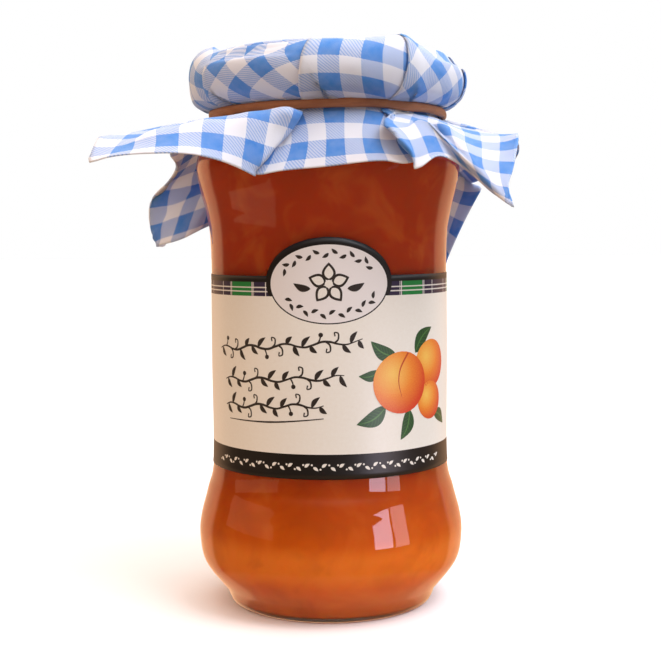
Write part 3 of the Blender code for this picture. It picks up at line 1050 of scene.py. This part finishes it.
def strokeShape(points, widths):
    # A pen stroke whose width runs through these values
    route = smoothRoute(points, 8)
    rows = []
    for k, point in enumerate(route):
        before, after = route[max(k - 1, 0)], route[min(k + 1, len(route) - 1)]
        along = (after - before).normalized()
        side = Vector((-along.y, along.x))
        t = k / (len(route) - 1)
        half = 0.5 * float(np.interp(t, np.linspace(0, 1, len(widths)), widths))
        rows.append([(*(point - side * half), 2 * t - 1, -1), (*(point + side * half), 2 * t - 1, 1)])
    return rows


def vineShapes(s, height, length, rise):
    # A pen-drawn sprig: a waving stem with leaves, buds and tendrils on both sides
    shapes, count = [], int(length / 1.9)
    points = []
    for k in range(count + 1):
        t = k / count
        points.append(Vector((s + t * length, height + rise * t + 0.55 * math.sin(k * 1.25))))
    shapes.append(strokeShape(points, (0.25, 0.55, 0.6, 0.45, 0.55, 0.2)))
    for k in range(count):
        start = points[k].lerp(points[k + 1], 0.5)
        up = 1 if k % 2 else -1
        kind = (k * 5 + int(abs(s))) % 7
        if kind in (0, 2, 4, 5):
            size, aim = 2.9 + 0.5 * math.sin(k * 2.1), up * (52 + 9 * math.sin(k * 1.7))
            shapes.append(leafShape(start.x, start.y, size, 1.15, aim, 0.1 * up))
        elif kind in (1, 6):
            tip = start + Vector((1.0, up * 2.2))
            curl = [tip + Vector((-0.9, up * 0.3)), tip + Vector((-0.8, -up * 0.6))]
            tendril = [start, start + Vector((0.9, up * 0.8)), tip] + curl
            shapes.append(strokeShape(tendril, (0.45, 0.4, 0.3, 0.35)))
        else:
            bud = start + Vector((0.7, up * 2.0))
            shapes.append(strokeShape([start, start + Vector((0.5, up * 1.0)), bud], (0.4, 0.3)))
            shapes.append(discShape(bud.x, bud.y, 0.55))
    return shapes


def printShapes(name, shapes, paint, layer):
    shape = bmesh.new()
    flatLayer, ownLayer = (shape.loops.layers.uv.new(name) for name in ("flat", "own"))
    for index, rows in enumerate(shapes):
        lift = label["sheet"] + motif["lift"] * layer + 0.0015 * (index % 8)
        verts = []
        for row in rows:
            line = []
            for s, height, x, y in row:
                vert = shape.verts.new(onJar(labelRadius(height) + lift, s / waist, height))
                line.append((vert, (s, height), (x, y)))
            verts.append(line)
        for first, second in zip(verts, verts[1:]):
            for k in range(len(first) - 1):
                corners = (first[k], first[k + 1], second[k + 1], second[k])
                face = shape.faces.new([corner[0] for corner in corners])
                for loop, corner in zip(face.loops, corners):
                    loop[flatLayer].uv, loop[ownLayer].uv = corner[1:]
    shape.normal_update()
    flat = Vector((1, 1, 0))
    inward = [face for face in shape.faces if face.normal.dot(face.calc_center_median() * flat) < 0]
    bmesh.ops.reverse_faces(shape, faces=inward)
    bmesh.ops.dissolve_degenerate(shape, dist=1e-7, edges=shape.edges)
    addObject(name, meshOf(name, shape, False), inkMaterial(name, paint), "paper")


def petals(centre, start, length, width):
    aims = [90 + 72 * k for k in range(5)]
    starts = [(start * math.cos(math.radians(aim)), start * math.sin(math.radians(aim))) for aim in aims]
    return [leafShape(x, centre + y, length, width, aim, 0.0) for (x, y), aim in zip(starts, aims)]


def makePrint():
    inks = []
    for vine in motif["vines"]:
        inks += vineShapes(*vine)
    inks.append(strokeShape([(-29, 50.2), (-15, 50.4), (-1.5, 51.6)], (0.15, 0.45, 0.2)))
    centre = label["innerOval"][0]
    wide, tall = motif["garland"]
    for k in range(36):  # the garland round the oval
        turn = math.radians(10 * k)
        if abs(math.cos(turn)) <= 0.93:
            x, y = wide * math.cos(turn), tall * math.sin(turn)
            aim = math.degrees(math.atan2(tall * math.cos(turn), -wide * math.sin(turn)))
            inks.append(leafShape(x, centre + y, 1.9, 0.85, aim + (34 if k % 2 else -34), 0.08))
    inks += petals(centre, 0.7, 4.4, 3.3)  # the blossom in its middle, with a leaf on each side
    for side in (-1, 1):
        inks.append(leafShape(side * 4.4, centre - 1.2, 4.4, 1.7, 90 - side * 72, -0.1 * side))
    printShapes("printed_black", inks, motif["black"], 1)
    whites = [discShape(0.0, centre, 0.95)] + petals(centre, 1.25, 3.1, 2.1)
    for k in range(32):  # the row of sprigs along the foot of the label
        s, height = -33.5 + 2.1 * k, motif["foot"]
        whites.append(leafShape(s, height, 1.5, 0.75, 35 if k % 2 else -35, 0.05))
        whites.append(discShape(s - 0.35, height + (0.55 if k % 3 else -0.5), 0.24))
    printShapes("printed_white", whites, motif["white"], 2)
    printShapes("printed_leaves", [leafShape(*leaf) for leaf in motif["fruitLeaves"]], paintLeaf, 1)
    fruits = [discShape(s, height, radius, 0.95) for s, height, radius in motif["fruits"]]
    printShapes("printed_fruit_behind", fruits[:2], paintFruit, 2)
    printShapes("printed_fruit", fruits[2:], paintFruit, 3)
    s, height, radius = motif["fruits"][2]  # the cleft in the fruit that lies in front
    cleft = [(0.25, 0.9), (-0.05, 0.45), (-0.12, 0.0), (0.0, -0.45)]
    route = [(s + radius * x, height + radius * y) for x, y in cleft]
    printShapes("printed_cleft", [strokeShape(route, (0.5, 0.32, 0.1))], motif["cleft"], 4)


makePrint()
print("print made")

# Floor, light and camera

studio = {
    "floor": "#f8f7f5",
    "floorPaler": "#fdfcfa",
    "mottle": 16.67,  # how large the paler places are
    "floorHalf": 6000,
    "air": 0.1,  # under the foot, as there is under real glass
    "cameraPlace": (0.3, -320.0, 94.3),
    "cameraTilt": 4.25,  # degrees down
    "cameraRoll": -0.45,
    "lens": 66.34,
    "near": 0.7,  # how bright the room is steeply below, low in front, higher in front, behind and overhead
    "low": 0.24,
    "front": 0.75,
    "mirroredFront": 0.12,  # the same as a mirror image in the glass, where a real room is darker
    "behind": 1.25,
    "backdrop": 1.0,  # how bright it is behind the jar as the camera sees it
    "overhead": 1.95,
    "leftDim": 0.72,  # what is left of it on the left, where the light is warmer too
    # Between which two places one level turns into the next, as shares of the way up, right or back
    "lowFrom": (-0.62, -0.5),
    "frontFrom": (-0.1, 0.05),
    "overheadFrom": (0.3, 0.75),
    "rightFrom": (-0.7, 0.45),
    "coolFrom": (-0.8, 0.25),
    "behindFrom": (0.5, 0.62),
    "warm": "#ffd3a8",
    "mirroredWarm": "#ffc799",
    "cool": "#f8faff",
    "lights": (  # name, azimuth and rise in degrees, distance, height aimed at, width, height, power, colour
        ("skylight", 52.0, 52.0, 620, 60, 320, 320, 2.15, "#eef4ff"),
        ("warm_fill", -66.0, 0.0, 600, 60, 300, 420, 1.0, "#ffe8d2"),
    ),
    "glints": (  # the same, for panes that show only as a shine on the glass
        ("window_pane_left", 39.0, 2.6, 121, 27, 30.5, 37.5, 0.027, "#f1e8ff"),
        ("window_pane_right", 54.0, 2.6, 120, 27, 25.3, 37.5, 0.011, "#ffe9ee"),
        ("doorway", -70.0, -18.0, 170, 100, 144, 34, 0.009, "#ffd0a8"),
    ),
}


def floorMaterial():
    # Matt studio paper, faintly mottled
    material, tree, shader = newMaterial("pale_paper_floor")
    place = addNode(tree, "TexCoord", out="Object")
    mottle = addNode(tree, "TexNoise", {"Vector": place, "Scale": 1000 / studio["mottle"], "Detail": 4.0})
    colours = {0: mottle, 6: linear(studio["floor"]), 7: linear(studio["floorPaler"])}
    colour = addNode(tree, "Mix", colours, 2, data_type="RGBA")
    fillSockets(shader, {"Base Color": colour, "Roughness": 0.9})
    return material


def makeFloor():
    shape = bmesh.new()
    bmesh.ops.create_grid(shape, x_segments=1, y_segments=1, size=studio["floorHalf"] * mm)
    mesh = meshOf("floor", shape, False)
    mesh.materials.append(floorMaterial())
    floor = bpy.data.objects.new("floor", mesh)
    bpy.context.scene.collection.objects.link(floor)
    floor.location.z = -studio["air"] * mm
    floor.visible_glossy = False  # the glass mirrors the room as it is set up below, and not the floor
    floor.visible_diffuse = False


def makeRoom():
    # White paper behind and overhead, and a dim room in front, so that the glass keeps its depth
    world = bpy.data.worlds.new("soft_white_studio")
    bpy.context.scene.world = world
    world.use_nodes = True
    tree = world.node_tree
    direction = addNode(tree, "TexCoord", out="Generated")
    right, back, up = addNode(tree, "SeparateXYZ", [direction]).node.outputs
    rays = addNode(tree, "LightPath").node.outputs
    fromSurface = [rays["Is Glossy Ray"], rays["Is Transmission Ray"]]
    kind = addNode(tree, "Math", fromSurface, operation="SUBTRACT")
    mirrored = addNode(tree, "Math", [kind, 0.5], operation="GREATER_THAN")
    front = addNode(tree, "Mix", {0: mirrored, 2: studio["front"], 3: studio["mirroredFront"]})

    smooth = {"interpolation_type": "SMOOTHSTEP"}
    level = addNode(tree, "MapRange", [up, *studio["lowFrom"], studio["near"], studio["low"]], **smooth)
    level = addNode(tree, "MapRange", [up, *studio["frontFrom"], level, front], **smooth)
    level = addNode(tree, "MapRange", [up, *studio["overheadFrom"], level, studio["overhead"]], **smooth)
    leftShare = addNode(tree, "MapRange", [right, *studio["rightFrom"], studio["leftDim"], 1.0], **smooth)
    level = addNode(tree, "Math", [level, leftShare], operation="MULTIPLY")
    isBehind = addNode(tree, "MapRange", [back, *studio["behindFrom"], 0.0, 1.0], **smooth)
    level = addNode(tree, "Mix", {0: isBehind, 2: level, 3: studio["behind"]})

    fromRight = addNode(tree, "MapRange", [right, *studio["coolFrom"], 0.0, 1.0], **smooth)
    fromAbove = addNode(tree, "MapRange", [up, *studio["frontFrom"], 0.0, 1.0], **smooth)
    isCool = addNode(tree, "Math", [fromRight, fromAbove], operation="MULTIPLY")
    white, warm = linear("#ffffff"), linear(studio["warm"])
    mirroredWarm, cool = linear(studio["mirroredWarm"]), linear(studio["cool"])
    tint = addNode(tree, "Mix", {0: isCool, 6: warm, 7: cool}, 2, data_type="RGBA")
    backTint = addNode(tree, "Mix", {0: mirrored, 6: white, 7: mirroredWarm}, 2, data_type="RGBA")
    tint = addNode(tree, "Mix", {0: isBehind, 6: tint, 7: backTint}, 2, data_type="RGBA")
    seen = rays["Is Camera Ray"]  # the backdrop itself is plain white all round
    fillSockets(tree.nodes["Background"], [
        addNode(tree, "Mix", {0: seen, 6: tint, 7: white}, 2, data_type="RGBA"),
        addNode(tree, "Mix", {0: seen, 2: level, 3: studio["backdrop"]}),
    ])


def makeLights():
    for kind in ("lights", "glints"):
        for name, azimuth, rise, away, aimed, width, tall, power, colour in studio[kind]:
            light = bpy.data.lights.new(name, "AREA")
            light.shape = "RECTANGLE"
            light.size, light.size_y = width * mm, tall * mm
            light.energy = power
            light.color = linear(colour)[:3]
            lamp = bpy.data.objects.new(name, light)
            bpy.context.scene.collection.objects.link(lamp)
            turn, up = math.radians(azimuth), math.radians(rise)
            aim = onJar(0.0, 0.0, aimed)
            lamp.location = aim + onJar(away * math.cos(up), turn, away * math.sin(up))
            lamp.rotation_euler = (aim - lamp.location).to_track_quat("-Z", "Y").to_euler()
            lamp.visible_camera = False
            lamp.visible_diffuse = kind == "lights"
            lamp.visible_glossy = name != "warm_fill"


def makeCamera():
    lens = bpy.data.cameras.new("camera")
    lens.lens = studio["lens"]
    lens.clip_start = 0.01
    camera = bpy.data.objects.new("camera", lens)
    bpy.context.scene.collection.objects.link(camera)
    camera.location = Vector(studio["cameraPlace"]) * mm
    tilt = Matrix.Rotation(math.radians(90 - studio["cameraTilt"]), 3, "X")
    camera.rotation_euler = (tilt @ Matrix.Rotation(math.radians(studio["cameraRoll"]), 3, "Z")).to_euler()
    bpy.context.scene.camera = camera
    bpy.context.scene.view_settings.view_transform = "Standard"


makeFloor()
makeRoom()
makeLights()
makeCamera()
print("studio made")
